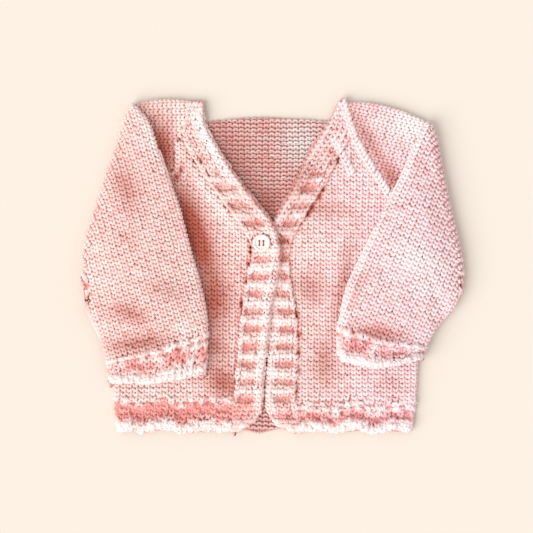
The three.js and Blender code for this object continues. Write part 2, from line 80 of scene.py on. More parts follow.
# bands: free edge x, y and line of slits x, y
BAND = {
    -1: [(-46.6, 111.5, -56.8, 112.2), (-46.2, 104.0, -58.8, 102.7), (-45.0, 96.0, -60.6, 96.6),
         (-41.4, 89.4, -61.6, 90.4), (-38.2, 84.0, -59.4, 82.6), (-34.3, 77.5, -54.2, 72.6),
         (-25.8, 64.4, -43.2, 56.2), (-17.3, 53.0, -33.2, 42.4), (-9.6, 43.2, -25.4, 31.8),
         (-2.6, 34.4, -19.2, 22.6), (2.8, 25.6, -15.6, 15.8), (5.4, 15.0, -14.4, 8.6),
         (5.6, 4.0, -15.8, 2.0), (3.6, -7.0, -17.8, -8.0), (0.7, -22.0, -20.4, -23.0),
         (-1.7, -40.0, -22.6, -41.0), (-3.9, -57.0, -24.0, -57.6), (-5.8, -74.0, -25.2, -74.4),
         (-6.5, -90.0, -26.2, -90.0), (-8.0, -97.6, -26.8, -97.6), (-11.8, -103.6, -27.2, -103.6),
         (-18.6, -108.8, -27.6, -108.8), (-25.2, -111.4, -28.0, -111.6)],
    1: [(43.8, 110.6, 50.7, 111.5), (40.4, 102.6, 52.8, 102.7), (36.4, 95.6, 54.2, 96.6),
        (32.2, 90.0, 54.6, 90.6), (28.8, 85.4, 51.4, 84.0), (25.2, 80.0, 46.2, 75.4),
        (20.4, 70.0, 39.4, 62.6), (15.6, 59.0, 32.8, 50.4), (9.8, 47.6, 25.4, 38.8),
        (3.6, 36.8, 18.6, 28.2), (-1.4, 25.4, 13.8, 18.4), (-4.0, 13.6, 11.8, 9.0),
        (-4.6, 1.0, 11.8, -1.0), (-4.2, -14.0, 13.8, -14.6), (-3.6, -29.0, 16.2, -29.0),
        (-3.2, -43.0, 17.4, -43.0), (-3.2, -57.0, 17.4, -57.0), (-4.4, -73.0, 16.9, -73.0),
        (-5.2, -88.0, 16.2, -88.0), (-4.0, -96.0, 17.0, -96.0), (-1.2, -102.4, 17.6, -102.4),
        (4.8, -107.6, 18.4, -107.6), (14.0, -110.9, 19.0, -111.2)],
}
NECK = [(-46.2, 98.2), (-36.0, 99.4), (-20.0, 101.0), (0.0, 101.3), (18.0, 100.4), (38.6, 98.6)]
SLEEVE = {
    -1: {
        "crease": [(-93.2, 110.2), (-99.4, 87.0), (-107.4, 63.2), (-115.4, 39.6),
                   (-122.4, 15.2), (-125.2, -7.0), (-124.6, -24.5)],
        "inner": [(-93.2, 110.2), (-82.6, 96.6), (-76.8, 80.6), (-69.4, 60.0), (-61.2, 36.4),
                  (-55.2, 12.6), (-48.6, -10.0), (-44.4, -32.0), (-43.2, -52.0), (-45.6, -71.4)],
        "under": [(-124.6, -24.5), (-125.2, -29.2), (-122.4, -36.0), (-118.4, -44.9),
                  (-115.2, -53.7), (-112.4, -63.2), (-109.0, -77.4)],
        "bow": 3.4, "rise": 2.4, "wale": (75.0, -265.0),
    },
    1: {
        "crease": [(104.4, 98.0), (108.8, 74.0), (113.8, 48.6), (119.2, 25.0), (123.6, 4.0),
                   (125.2, -10.0), (124.8, -19.6)],
        "inner": [(104.4, 98.0), (98.6, 89.1), (93.0, 76.8), (87.4, 63.9), (81.3, 51.7),
                  (73.3, 36.7), (65.6, 20.0), (58.6, 6.0), (51.4, -9.0), (46.6, -25.8),
                  (43.6, -42.0), (43.6, -54.0), (47.4, -63.0)],
        "under": [(124.8, -19.6), (123.8, -25.2), (118.9, -32.0), (112.2, -39.4),
                  (106.6, -48.3), (103.2, -54.4), (100.5, -61.4)],
        "bow": 4.6, "rise": 4.1, "wale": (-88.0, -212.0),
    },
}

# soft creases, in order: x, y, half length, half width, turn in degrees, height
CREASES = {
    "front": [
        (-62.0, -20.0, 60.0, 9.0, 80.0, -1.0),
        (34.0, 40.0, 20.0, 7.0, 0.0, -1.2),
        (28.0, -16.0, 16.0, 7.0, -58.0, -1.0),
        (30.0, 13.0, 22.0, 8.0, -4.0, 0.7),
    ],
    "sleeve": [
        (-86.0, 10.0, 80.0, 24.0, -76.0, 2.2),
        (90.0, 0.0, 70.0, 24.0, 76.0, 2.2),
        (-87.0, -48.0, 26.0, 7.0, 6.0, -2.6),
        (-97.0, 56.0, 18.0, 10.0, -74.0, -1.8),
        (-70.0, -18.0, 12.0, 7.0, -8.0, 1.2),
        (72.0, -46.0, 22.0, 6.5, -4.0, -2.6),
        (104.0, -4.0, 24.0, 9.0, -65.0, 1.0),
    ],
}
# painted shade in the folds (painted light below 0), by place and in order:
# x, y, half length, half width, turn in degrees, amount
SHADES = {
    "arm": [
        (-82, 87, 22, 5, -63, -0.35), (-66, 44, 29, 5, -75, 0.1),
        (-98, 54, 18, 10, -74, 0.5), (-100, 20, 21, 7, -27, 0.15),
        (-119, -5, 21, 8, -63, -0.2), (-73, -16, 12, 7, -18, 0.36),
        (-96, -31, 15, 7, -18, 0.62), (-89, -51, 23, 6, 8, 0.72),
        (-60, -42, 6, 6, -17, -0.5), (-51, 6, 32, 3, -82, 0.25),
        (-53, -4, 6, 6, -27, -0.35), (102, 56, 40, 8, -71, 0.1),
        (95, 6, 21, 11, -7, -0.45), (105, -14, 13, 10, -45, -0.3),
        (70, -44, 19, 6, -5, 0.75), (55, -12, 11, 6, 79, 0.42),
        (76, 47, 30, 5, -109, 0.22),
    ],
    "front": [
        (-55, 30, 31, 10, -69, 1.1), (-42, -25, 31, 10, -86, 0.75),
        (-51, 16, 15, 7, -67, 0.35), (-32, -22, 15, 10, -81, 0.4),
        (-39, -54, 6, 6, -83, 0.45), (-34, 41, 35, 5, -55, -0.55),
        (-83, -84, 22, 6, -2, -0.3), (-34, -78, 13, 10, -50, 0.85),
        (34, 40, 18, 6, -8, 0.42), (31, 13, 21, 8, -5, -0.1),
        (26, -14, 12, 11, -47, 0.5), (48, -12, 31, 5, 78, 0.58),
        (35, -65, 17, 9, -85, 0.55), (82, -80, 9, 7, 0, 0.28),
        (-31, -58, 6, 5, -79, 0.2),
    ],
    "cap": [
        (-74, 80, 22, 11, -72, 0.98), (-60, 94, 16, 5, -77, -0.55),
        (81, 60, 11, 6, -64, 0.68), (94, 95, 15, 10, -40, -0.85),
        (65, 86, 24, 5, -61, 0.6),
    ],
    "band": [
        (-45, 89, 25, 5, -62, -0.85), (-15, 37, 19, 5, -64, 0.22),
        (39, 94, 9, 5, -117, 0.05), (21, 59, 21, 6, -119, 0.62),
        (-14, -51, 32, 6, -95, 0.18), (8, -46, 37, 6, -90, 0.16),
        (9, 15, 17, 5, -84, 0.6),
    ],
    "back": [
        (-23, 69, 35, 9, -60, 0.42), (19, 84, 16, 14, -90, -1.1),
        (-7, 68, 27, 27, -86, 0.1), (-2, 44, 10, 10, -90, 0.6),
    ],
}
# small holes where the yarn is drawn apart: x, y
HOLES = [
    (16.7, -32.6), (18.0, -45.6), (17.3, -57.8), (17.3, -70.7), (15.3, -83.0), (34.3, 52.4),
    (31.6, 47.6), (26.2, 40.1), (24.1, 36.0), (-14.6, 13.6), (-15.3, 9.5), (-16.0, 2.7),
    (-18.0, -8.8), (-20.7, -24.5), (-61.5, 66.0), (-64.9, 60.5), (-48.6, 72.1), (-29.6, 38.1),
    (40.5, 76.8), (43.9, 73.4), (39.1, 70.0),
]


def smooth(x):
    """Soft step: three times the square less twice the cube, held between 0 and 1."""
    t = np.clip(x, 0, 1)
    return t * t * (3 - 2 * t)


def mix(a, b, t):
    return a + (b - a) * t


def unit(v):
    """Each direction at length 1."""
    return v / np.maximum(np.linalg.norm(v, axis=-1, keepdims=True), 1e-9)


def ridges(y):
    """The bands' level ridges, 0 to 1: a cosine of the height, 1 on each ridge."""
    return 0.5 + 0.5 * np.cos(2 * np.pi * (y - RIDGE["top"]) / RIDGE["pitch"])


def bell(x, at, half):
    return np.exp(-(((x - at) / half) ** 2))


def bumps(run):
    """Uneven row of bumps along a border, 0 to 1: a sine whose step drifts with two others."""
    return np.clip(0.5 + 0.6 * np.sin(run / 1.3 + 1.9 * np.sin(run / 9.0) + np.sin(run / 23.0)), 0, 1)


def bridges(run):
    """Narrow bridges across a cuff's groove, one about every 23 mm."""
    return bell((run + 3 * np.sin(run / 17.0)) % 23.0, 11.5, 4.2)


def ragged(up, run):
    """Height above the edge with an uneven rim: three sines along the border."""
    return up + 0.9 * np.sin(run / 2.1) + 0.8 * np.sin(run / 5.3 + 1.0) + 0.5 * np.sin(run / 1.2)


# borders (right hem -1, left hem 1, cuffs 0): middle and half height of the groove, the same
# of the bumps, and how much painted shade lies in the groove
BORDER = {-1: (14.2, 6.2, 20.6, 2.2, 0.58), 1: (10.0, 3.8, 15.4, 2.8, 0.5),
          0: (12.2, 3.4, 17.4, 3.0, 0.6)}


def border(up, run, kind):
    """Edge ridge, groove and row of bumps of a border: bell curves up, down and up,
    with bumps along the upper one and bridges across a cuff's groove."""
    middle, half, high, tall, _ = BORDER[kind]
    joined = 0.95 * bridges(run) * (kind == 0)
    low = 0.3 if kind == -1 else 0.9
    return (1.9 * bell(up, 4.4, 3.8) - low * bell(up, middle, half * 0.9) * (1 - joined)
            + (0.3 + 1.4 * bumps(run)) * bell(up, high, tall))


def border_shade_depth(up, run, kind):
    """Painted shade in a border's groove: a broad bell over the groove, less on its bumps."""
    middle, half, high, tall, deepest_shade = BORDER[kind]
    up = ragged(up, run)
    joined = 0.95 * bridges(run) * (kind == 0)
    lit = 0.9 * bumps(run) * bell(up, high, tall)
    return deepest_shade * np.exp(-(((up - middle) / half) ** 4)) * (1 - lit) * (1 - joined)


def border_shade_light(up, run, kind):
    """Painted light on a border's ridge, bumps and bridges, and a little painted shade in its groove.
    """
    middle, half, high, tall, _ = BORDER[kind]
    joined = bridges(run) * bell(up, middle, half) * (kind == 0)
    up = ragged(up, run)
    ridge = np.exp(-(((up - 3.6) / 4.2) ** 4)) * (0.75 + 0.25 * np.sin(run / 3.1 + up))
    return (-0.5 * ridge - 0.65 * bumps(run) * bell(up, high, tall) - 0.5 * joined
            + 0.12 * bell(up, middle, half))


def border_face(up, kind):
    """Which way a border's loops stand: purled on the bumps, flatter in the groove."""
    middle, half, high, tall, _ = BORDER[kind]
    return np.where(bell(up, high, tall * 0.7) > 0.5, -1.0, 1.0) * (1 - 0.45 * bell(up, middle, half))


def border_thick(up, kind):
    _, _, high, tall, _ = BORDER[kind]
    return 1 + 0.4 * bell(up, 3.6, 4.0) + 0.28 * bell(up, high, tall)


def hem_line(x):
    """Wavy bottom edge: two sines along the hem."""
    return HEM_Y + 1.1 * np.sin(x / 4.1 + 0.6) + 0.7 * np.sin(x / 6.7)


def bells(rows, x, y):
    """Sum of stretched bell curves, one for each row of a table."""
    total = np.zeros(np.shape(x))
    for cx, cy, long, wide, turn, amount in rows:
        c, s = math.cos(math.radians(turn)), math.sin(math.radians(turn))
        u, v = (x - cx) * c + (y - cy) * s, (y - cy) * c - (x - cx) * s
        total = total + amount * np.exp(-((u / long) ** 2) - (v / wide) ** 2)
    return total


def draw_apart(x, y):
    """Moves yarn away from each small hole: most at its middle, none 4 mm out."""
    for hx, hy in HOLES:
        gap = np.hypot(x - hx, y - hy)
        push = 0.95 * np.exp(-((gap / 1.9) ** 2)) / np.maximum(gap, 0.3)
        x, y = x + (x - hx) * push, y + (y - hy) * push
    return x, y


def shade_near_holes(x, y):
    """Painted shade on the yarn beside the small holes: a bell about each one."""
    return sum(0.9 * np.exp(-(((x - hx) ** 2 + (y - hy) ** 2) / 4.4)) for hx, hy in HOLES)


def wobble(x, y, seed):
    """Slow unevenness of hand knitting, about -1 to 1: three crossed sines."""
    k = seed * 1.7
    return (np.sin(x / 5.3 + y / 8.1 + k) + np.sin(y / 4.7 - x / 9.3 + 2 * k)
            + np.sin((x + y) / 13.0 + 3 * k)) / 3


class Line:
    """Smooth line through a table's points, the same cubic as the solids use."""

    def __init__(self, rows):
        self.points = np.array(rows, float)
        self.steps = np.linspace(0, 1, 1201)
        self.dense = self.at(self.steps)
        run = np.hypot(*np.diff(self.dense, axis=0).T)
        self.run = np.concatenate([[0], np.cumsum(run)])

    def at(self, t):
        """Cubic between neighbouring points, with slopes from the points on either side."""
        p, n = self.points, len(self.points)
        s = np.clip(t, 0, 1) * (n - 1)
        i = np.minimum(np.floor(s).astype(int), n - 2)
        w = (s - i)[..., None]
        p0, p1 = p[np.maximum(i - 1, 0)], p[i]
        p2, p3 = p[i + 1], p[np.minimum(i + 2, n - 1)]
        v0, v1 = (p2 - p0) / 2, (p3 - p1) / 2
        return ((2 * p1 - 2 * p2 + v0 + v1) * w**3
                + (-3 * p1 + 3 * p2 - 2 * v0 - v1) * w**2 + v0 * w + p1)

    def along(self, share):
        """The point at a share of the whole length."""
        return self.at(np.interp(share, self.run / self.run[-1], self.steps))

    def x_at(self, y):
        """Where the line, which runs down the body, crosses a height."""
        return np.interp(y, self.dense[::-1, 1], self.dense[::-1, 0])


OUTER = {s: Line(RAGLAN[s] + SIDE[s][1:]) for s in (-1, 1)}
SIDE_LINE = {s: Line(SIDE[s]) for s in (-1, 1)}
RAGLAN_LINE = {s: Line(RAGLAN[s]) for s in (-1, 1)}
FREE = {s: Line([r[:2] for r in BAND[s]]) for s in (-1, 1)}
SLITS = {s: Line([r[2:] for r in BAND[s]]) for s in (-1, 1)}
NECK_LINE = Line(NECK)


def rolled(inside, radius, most=2.4):
    """Turns a distance in from an edge into a place on its rounded edge.
    Gives the distance in after rolling and the share of the radius that it has dropped."""
    angle = np.clip((radius - inside) / radius, 0, most)
    return np.where(inside < radius, radius * (1 - np.sin(angle)), inside), 1 - np.cos(angle)


def front_top(side):
    """Outer face of one front: level, with a rib by the V, the hem's ridges and soft creases."""
    def place(x, y):
        out, inn = OUTER[side].x_at(np.maximum(y, HEM_Y)), SLITS[side].x_at(y)
        inside = (out - x) * side
        low = smooth((21.1 - y) / 4)
        near, drop = rolled(inside, 2.35, 2.9)
        px = np.where(low > 0.5, out - side * near, x)
        up = y - hem_line(x)
        up_in, fall = rolled(up, 1.5)
        py = np.where(up < 1.5, hem_line(x) + up_in, y)
        from_slits = (x - inn) * side
        rib = 0.7 * np.exp(-(((from_slits - 4.5) / 2.6) ** 2)) * smooth((y - 8) / 8)
        z = (FRONT_TOP + border(up, x, side) * smooth(inside / 4) + rib + bells(CREASES["front"], x, y)
             - 2.35 * drop * low - 1.2 * fall)
        return np.stack([px, py, z], -1)
    return place


def lap_lift(x, y):
    """How far the buttoned band climbs over the other one."""
    edge = FREE[1].x_at(y)
    reach = smooth((FREE[-1].x_at(y) - edge + 3) / 2.4)
    return (OVER_Z - FRONT_Z) * smooth((x - edge + 9) / 8.2) * reach * smooth((42 - y) / 6)


def band_share(side, x, y):
    """Share of the way across a band, from its free edge to its slits, on a level line."""
    free, slits = FREE[side].x_at(y), SLITS[side].x_at(y)
    return (x - free) / (slits - free)


def band_top(side):
    """Outer face of one band: a wave of level ridges, plain along the free edge, hem below."""
    def place(x, y):
        free = FREE[side].x_at(y)
        slope = (FREE[side].x_at(y + 1) - FREE[side].x_at(y - 1)) / 2
        square = 1 / np.sqrt(1 + slope**2)
        inside = (x - free) * side * square
        near, drop = rolled(inside, 1.7)
        px = np.where(inside < 1.7, free + side * near / square, x)
        t = band_share(side, x, y)
        wave = mix(ridges(y), 0.75, smooth((y - RIDGE["top"] - 2) / 5))
        dip = (1 - wave) * smooth((t - 0.22) / 0.14) * smooth((0.92 - t) / 0.12)
        across = smooth(t / 0.12) * smooth((1.06 - t) / 0.2)
        up = y - hem_line(x)
        body = smooth((up - 15) / 6) * smooth((111 - y) / 8)
        pressed = smooth((np.hypot(x - BUTTON_AT[0], y - BUTTON_AT[1]) - 5) / 4)
        lifted, hidden = 0.0, 0.0
        if side < 0:
            lifted = lap_lift(x, y)
        else:
            pressed = 1.0
            hidden = smooth((FREE[-1].x_at(y) - x + 8) / 4.6) * (y < LAP_HIGH) * (y > LAP_LOW)
        ridge = (RIDGE["rise"] * (1 - 1.6 * dip) * across * body * pressed
                 + border(up, x, side) * (1 - body) * across) * (1 - hidden)
        z = FRONT_TOP + lifted + ridge - 1.5 * drop
        return np.stack([px, np.maximum(y, HEM_Y - 0.6), z], -1)
    return place


def back_top(x, y):
    """Inner face of the back: level, rounded along the neck and the hem."""
    edge = np.interp(x, NECK_LINE.dense[:, 0], NECK_LINE.dense[:, 1])
    near, drop = rolled(edge - y, 1.4)
    py = np.where(edge - y < 1.4, edge - near, y)
    up = y - hem_line(x)
    up_in, fall = rolled(up, 1.2)
    py = np.where(up < 1.2, hem_line(x) + up_in, py)
    return np.stack([x, py, CLOTH + 0.1 - 1.1 * drop - 1.0 * fall + 0 * x], -1)


class Sleeve:
    """One sleeve: its cap beside the raglan and its arm, turned over and laid on the front."""

    def __init__(self, side):
        table = SLEEVE[side]
        self.side, self.table = side, table
        self.crease, self.inner, self.under = (Line(table[k]) for k in ("crease", "inner", "under"))
        self.length = (self.inner.run[-1] + self.under.run[-1]) / 2
        elbow, arm = np.array(table["crease"][-1]), np.array(RAGLAN[side][-1])
        self.arm, self.arm_line = arm, (elbow - arm) / np.hypot(*(elbow - arm))
        axis = np.array(table["wale"]) / np.hypot(*table["wale"])
        self.wale = axis

    def base(self, on, e):
        """Flat place: straight across from edge to edge, plus the crease's own bow, which
        fades towards the cuff, and the cuff's bow. Beyond either end it runs straight on."""
        o, c = np.clip(on, 0, 1), np.clip(e, 0, 1)
        a, b = self.inner.at(o), self.under.at(o)
        bow = self.crease.along(c) - mix(self.crease.points[0], self.crease.points[-1], c[..., None])
        p = a + (b - a) * e[..., None] + bow * ((1 - o) ** 2)[..., None]
        p[..., 1] -= self.table["bow"] * np.sin(np.pi * c) * smooth((o - 0.7) / 0.3)
        return p

    def flat(self, on, e):
        """Base, run on straight past the crease and past the cuff."""
        step = 0.04
        p = self.base(on, e)
        zero, one = np.zeros_like(on), np.ones_like(on)
        back = (self.base(zero + step, e) - self.base(zero, e)) / step
        ahead = (self.base(one, e) - self.base(one - step, e)) / step
        return p + np.minimum(on, 0)[..., None] * back + np.maximum(on - 1, 0)[..., None] * ahead

    def find(self, x, y):
        """Length and width shares of flat places: the nearest of a grid, then Newton steps."""
        on, e = np.meshgrid(np.linspace(-0.4, 1.04, 70), np.linspace(-0.06, 1.06, 40), indexing="ij")
        grid = self.flat(on.ravel(), e.ravel())
        flat_x, flat_y = np.ravel(x), np.ravel(y)
        best = np.empty(len(flat_x), int)
        for k in range(0, len(flat_x), 4000):
            part = slice(k, k + 4000)
            gap = ((flat_x[part, None] - grid[None, :, 0]) ** 2
                   + (flat_y[part, None] - grid[None, :, 1]) ** 2)
            best[part] = gap.argmin(1)
        a, b = on.ravel()[best].astype(float), e.ravel()[best].astype(float)
        h = 1e-3
        for _ in range(5):
            here = self.flat(a, b)
            da, db = (self.flat(a + h, b) - here) / h, (self.flat(a, b + h) - here) / h
            rx, ry = flat_x - here[:, 0], flat_y - here[:, 1]
            det = da[:, 0] * db[:, 1] - da[:, 1] * db[:, 0]
            det = np.where(np.abs(det) < 1.0, 1.0, det)
            a = np.clip(a + np.clip((rx * db[:, 1] - ry * db[:, 0]) / det, -0.1, 0.1), -0.42, 1.1)
            b = np.clip(b + np.clip((ry * da[:, 0] - rx * da[:, 1]) / det, -0.1, 0.1), -0.15, 1.15)
        return a.reshape(np.shape(x)), b.reshape(np.shape(x))

    def width(self, on):
        """Width of the arm at a share of its length."""
        o = np.clip(on, 0, 1)
        return np.hypot(*np.moveaxis(self.inner.at(o) - self.under.at(o), -1, 0))

    def sag(self, x, y):
        """How far the arm hangs down outside the body that it lies on."""
        beside = self.side * (x - SIDE_LINE[self.side].x_at(np.minimum(y, self.arm[1])))
        below = (self.side * (x - self.arm[0]) * self.arm_line[1]
                 - (y - self.arm[1]) * abs(self.arm_line[0]))
        return 2.6 * smooth((np.minimum(beside, below) - 3) / 15)

    def top(self, on, e):
        """Outer face of the arm: rolled at both long edges, round the crease and at the cuff."""
        width = self.width(on)
        inside = np.minimum(e, 1 - e) * width
        near, drop = rolled(inside, 3.8, 2.2)
        e_in = np.where(inside < 3.8, np.where(e < 0.5, near / width, 1 - near / width), e)
        c = np.clip(e_in, 0, 1)
        up = (1 - on) * self.length
        up_in, fall = rolled(up, 1.6)
        on_in = np.where(up < 1.6, 1 - up_in / self.length, np.maximum(on, 0))
        level = 2.9 * drop
        reach = self.base(np.full_like(on, 0.04), c) - self.base(np.zeros_like(on), c)
        turn = np.clip(np.maximum(-on, 0) / 0.04 * np.hypot(reach[..., 0], reach[..., 1]) / CREASE_Z,
                       0, math.pi)
        ahead = self.crease.along(np.clip(c + 0.01, 0, 1)) - self.crease.along(np.clip(c - 0.01, 0, 1))
        normal = unit(np.stack([ahead[..., 1], -ahead[..., 0]], -1))
        normal *= np.sign(normal[..., :1]) * self.side
        at_elbow = 0.2 if self.side > 0 else 0.45
        tuck = 1 - at_elbow * smooth((c - 0.82) / 0.18) - 0.45 * smooth((0.1 - c) / 0.1)
        radius = CREASE_Z - level
        p = self.base(on_in, e_in) + normal * (radius * np.sin(turn) * tuck)[..., None]
        air = smooth(on / 0.25) * SLEEVE_PUFF * np.sin(np.pi * c) ** 0.8
        px, py = p[..., 0], p[..., 1]
        edge = border(up, c * width + 9 * (self.side > 0), 0) * smooth(inside / 3)
        body = (air + edge + bells(CREASES["sleeve"], px, py) - self.sag(px, py)) * (on > 0)
        return np.stack([px, py, CREASE_Z + radius * np.cos(turn) + body - 1.2 * fall], -1)

    def covers(self, x, y):
        """How deep a point lies under the arm, in millimetres: positive inside its outline."""
        on, e = self.find(x, y)
        return np.minimum(np.minimum(e, 1 - e) * self.width(on),
                          np.minimum(on + 0.03, 1 - on) * self.length)

    def cap_top(self, x, y):
        """Outer face of the cap, rolled along the shoulder's fold."""
        edge = self.shoulder(x)
        near, drop = rolled(edge - y, 2.35, 2.9)
        py = np.where(edge - y < 2.35, edge - near, y)
        return np.stack([x, py, FRONT_TOP - 2.35 * drop + 0 * x], -1)

    def shoulder(self, x):
        """The shoulder's fold: a shallow arch from the raglan to the crease."""
        a, b = np.array(RAGLAN[self.side][0]), np.array(self.table["crease"][0])
        t = np.clip((x - a[0]) / (b[0] - a[0]), 0, 1)
        return mix(a[1], b[1], t) + self.table["rise"] * 4 * t * (1 - t)


SLEEVES = {side: Sleeve(side) for side in (-1, 1)}

PATH_POINTS = 12
TUBE_SIDES = 5
turn = np.linspace(0, 2 * np.pi, PATH_POINTS)
LOOP_ACROSS = turn / (2 * np.pi) - 0.5 + 0.285 * np.sin(2 * turn)
LOOP_UP = -0.7 * np.cos(turn)
LOOP_OUT = -np.cos(2 * turn) + 0.35 * np.cos(turn)
LOOP_THICK = 0.96 - 0.2 * np.cos(2 * turn)


def tube(rings, sides):
    """Faces of a tube's skin, from ring to ring."""
    i, j = np.meshgrid(np.arange(rings - 1), np.arange(sides), indexing="ij")
    k = (j + 1) % sides
    return np.stack([i * sides + j, i * sides + k, (i + 1) * sides + k, (i + 1) * sides + j],
                    -1).reshape(-1, 4)


def knit(name, surface, centres, wide, tall, face, thick, deep, painted_shade, rough, kind, seed, shade_paint):
    """One yarn loop for each stitch. A loop's line crosses its stitch once from left to right,
    swings up and down as a cosine, leans in at its foot as a double sine, and its legs come
    forward (face 1) or go back (face -1) as a double cosine. A tube of yarn follows the line,
    fuller on the legs."""
    n = len(centres)
    chance = np.random.default_rng(seed)
    sway = chance.normal(0, 1, (n, 3))
    loose = 0.16 * (rough - 1) * chance.normal(0, 1, n)
    c, s = np.cos(loose)[:, None], np.sin(loose)[:, None]
    wide, tall = (np.concatenate([v[:, :1] * c - v[:, 1:] * s, v[:, :1] * s + v[:, 1:] * c], 1)
                  for v in (wide, tall))
    across = LOOP_ACROSS[None, :] * (1 + 0.04 * sway[:, :1])
    x = centres[:, :1] + across * wide[:, :1] + LOOP_UP * tall[:, :1]
    y = centres[:, 1:] + across * wide[:, 1:] + LOOP_UP * tall[:, 1:]
    rough = rough[:, None]
    x = x + rough * (0.40 * wobble(x, y, seed) + 0.16 * sway[:, 1:2])
    y = y + rough * (0.40 * wobble(y, x, seed + 2) + 0.16 * sway[:, 2:3])
    x, y = draw_apart(x, y)
    spot, normal = surface(x, y)
    radius = thick[:, None] * YARN * (1 + 0.06 * rough * sway[:, :1]) * LOOP_THICK[None, :]
    out = LOOP_DEPTH * face[:, None] * LOOP_OUT * thick[:, None] + 0.25 * (rough - 1) * sway[:, 2:3]
    line = spot + normal * (out - SETTLED)[..., None]
    ahead = unit(np.gradient(line, axis=1))
    beside = unit(np.cross(ahead, normal))
    above = np.cross(beside, ahead)
    angle = 2 * np.pi * np.arange(TUBE_SIDES) / TUBE_SIDES
    ring = (above[:, :, None] * np.cos(angle)[None, None, :, None]
            + beside[:, :, None] * np.sin(angle)[None, None, :, None])
    skin = line[:, :, None] + ring * radius[:, :, None, None]
    ends = np.stack([line[:, 0] - ahead[:, 0] * 0.3, line[:, -1] + ahead[:, -1] * 0.3], 1)
    per = PATH_POINTS * TUBE_SIDES + 2
    points = np.concatenate([skin.reshape(n, -1, 3), ends], 1)
    j = np.arange(TUBE_SIDES)
    k = (j + 1) % TUBE_SIDES
    last = (PATH_POINTS - 1) * TUBE_SIDES
    first_cap = np.stack([np.full(TUBE_SIDES, per - 2), k, j], -1)
    last_cap = np.stack([np.full(TUBE_SIDES, per - 1), last + j, last + k], -1)
    starts = (np.arange(n) * per)[:, None, None]
    quads = tube(PATH_POINTS, TUBE_SIDES) + starts
    caps = np.concatenate([first_cap, last_cap]) + starts
    tone = np.repeat(chance.normal(0, 1, n), per)
    # painted shade: the lower a point of the yarn lies, the more rose it is coloured, plus the run's
    # own painted depth shade
    height = out[..., None] + radius[..., None] * np.cos(angle)
    sunk_shade = np.clip((LOOP_DEPTH + YARN - height) / (LOOP_DEPTH + YARN) / 1.5, 0, 1).reshape(n, -1)
    shade_depth = np.concatenate([sunk_shade, np.ones((n, 2))], 1) + deep[:, None]
    shade_depth = np.clip(shade_depth, 0, 1.6).ravel()
    points = points.reshape(-1, 3)
    x, y = points[:, 0], points[:, 1]
    # painted shade and painted light: the fold table, the run's own amount and the shade beside the
    # small holes
    fold_shades = bells(SHADES[kind], x, y) + np.repeat(painted_shade, per) + shade_near_holes(x, y)
    # more painted shade, and painted light below 0, from the run's own function
    if shade_paint:
        deeper_shade, darker_shade = shade_paint(x, y)
        shade_depth, fold_shades = np.clip(shade_depth + deeper_shade, 0, 1.6), fold_shades + darker_shade
    points[:, 2] = np.maximum(points[:, 2], 0.02)
    return {"name": name, "points": points, "quads": quads.reshape(-1, 4),
            "triangles": caps.reshape(-1, 3), "tone": tone, "deep": shade_depth, "shade": fold_shades}


def with_normal(place):
    """Adds the outward direction to a surface of flat x and y, from two short steps on it."""
    def both(x, y):
        here = place(x, y)
        h = 0.05
        return here, unit(np.cross(place(x + h, y) - here, place(x, y + h) - here))
    return both


def arm_surface(arm):
    """The arm's face for flat x and y, found through its length and width shares."""
    def both(x, y):
        on, e = arm.find(x, y)
        here = arm.top(on, e)
        h = 1e-3
        normal = unit(np.cross(arm.top(on + h, e) - here, arm.top(on, e + h) - here))
        middle = np.array([0.5]), np.array([0.5])
        first = arm.top(*middle)
        sense = np.cross(arm.top(middle[0] + h, middle[1]) - first,
                         arm.top(middle[0], middle[1] + h) - first)[0, 2]
        return here, normal * np.sign(sense)
    return both


def grid(along, low, high, wide=STITCH_WIDE, tall=STITCH_TALL):
    """Stitch centres on a turned grid over a box, with each stitch's width and height."""
    axis = np.array(along, float) / np.hypot(*along)
    rows_up = -axis
    right = np.array([rows_up[1], -rows_up[0]])
    reach = max(high[0] - low[0], high[1] - low[1])
    mid = (np.array(low) + np.array(high)) / 2
    u, v = np.meshgrid(np.arange(-reach, reach, wide), np.arange(-reach, reach, tall))
    spot = (mid + u[..., None] * right + v[..., None] * rows_up).reshape(-1, 2)
    spot = spot[np.all((spot > np.array(low)) & (spot < np.array(high)), 1)]
    return spot, np.tile(right * wide, (len(spot), 1)), np.tile(rows_up * tall, (len(spot), 1))


knitting = []


def lay(name, kind, surface, stitches, face=1.0, thick=1.0, deep=0.0, painted_shade=0.0, rough=1.0, seed=1,
        shade_paint=None):
    """Knits one run of stitches; each look is one number or one for each stitch."""
    n = len(stitches[0])
    looks = (np.full(n, float(v)) if np.isscalar(v) else v for v in (face, thick, deep, painted_shade, rough))
    knitting.append(knit(name, surface, *stitches, *looks, kind, seed, shade_paint))


def chosen(stitches, keep):
    return tuple(part[keep] for part in stitches)


def band_stitches(side, columns):
    """Level rows of stitches whose columns keep their share of the band's width."""
    levels = RIDGE["top"] + STITCH_TALL * np.arange(17, -58, -1)
    shares = (np.arange(-1, columns) + 0.5) / columns
    y, t = (m.ravel() for m in np.meshgrid(levels, shares, indexing="ij"))
    free, slits = FREE[side].x_at(y), SLITS[side].x_at(y)
    x = mix(free, slits, t)
    shift = (mix(FREE[side].x_at(y + 1), SLITS[side].x_at(y + 1), t)
             - mix(FREE[side].x_at(y - 1), SLITS[side].x_at(y - 1), t)) / 2
    width = np.abs(slits - free) / columns
    centres = np.stack([x, y], -1)
    wide = np.stack([width, 0 * width], -1)
    tall = np.stack([np.clip(shift, -1.5, 1.5) * STITCH_TALL, 0 * width + STITCH_TALL], -1)
    keep = (y > HEM_Y + 0.5) & (width > 1.0)
    return centres[keep], wide[keep], tall[keep]


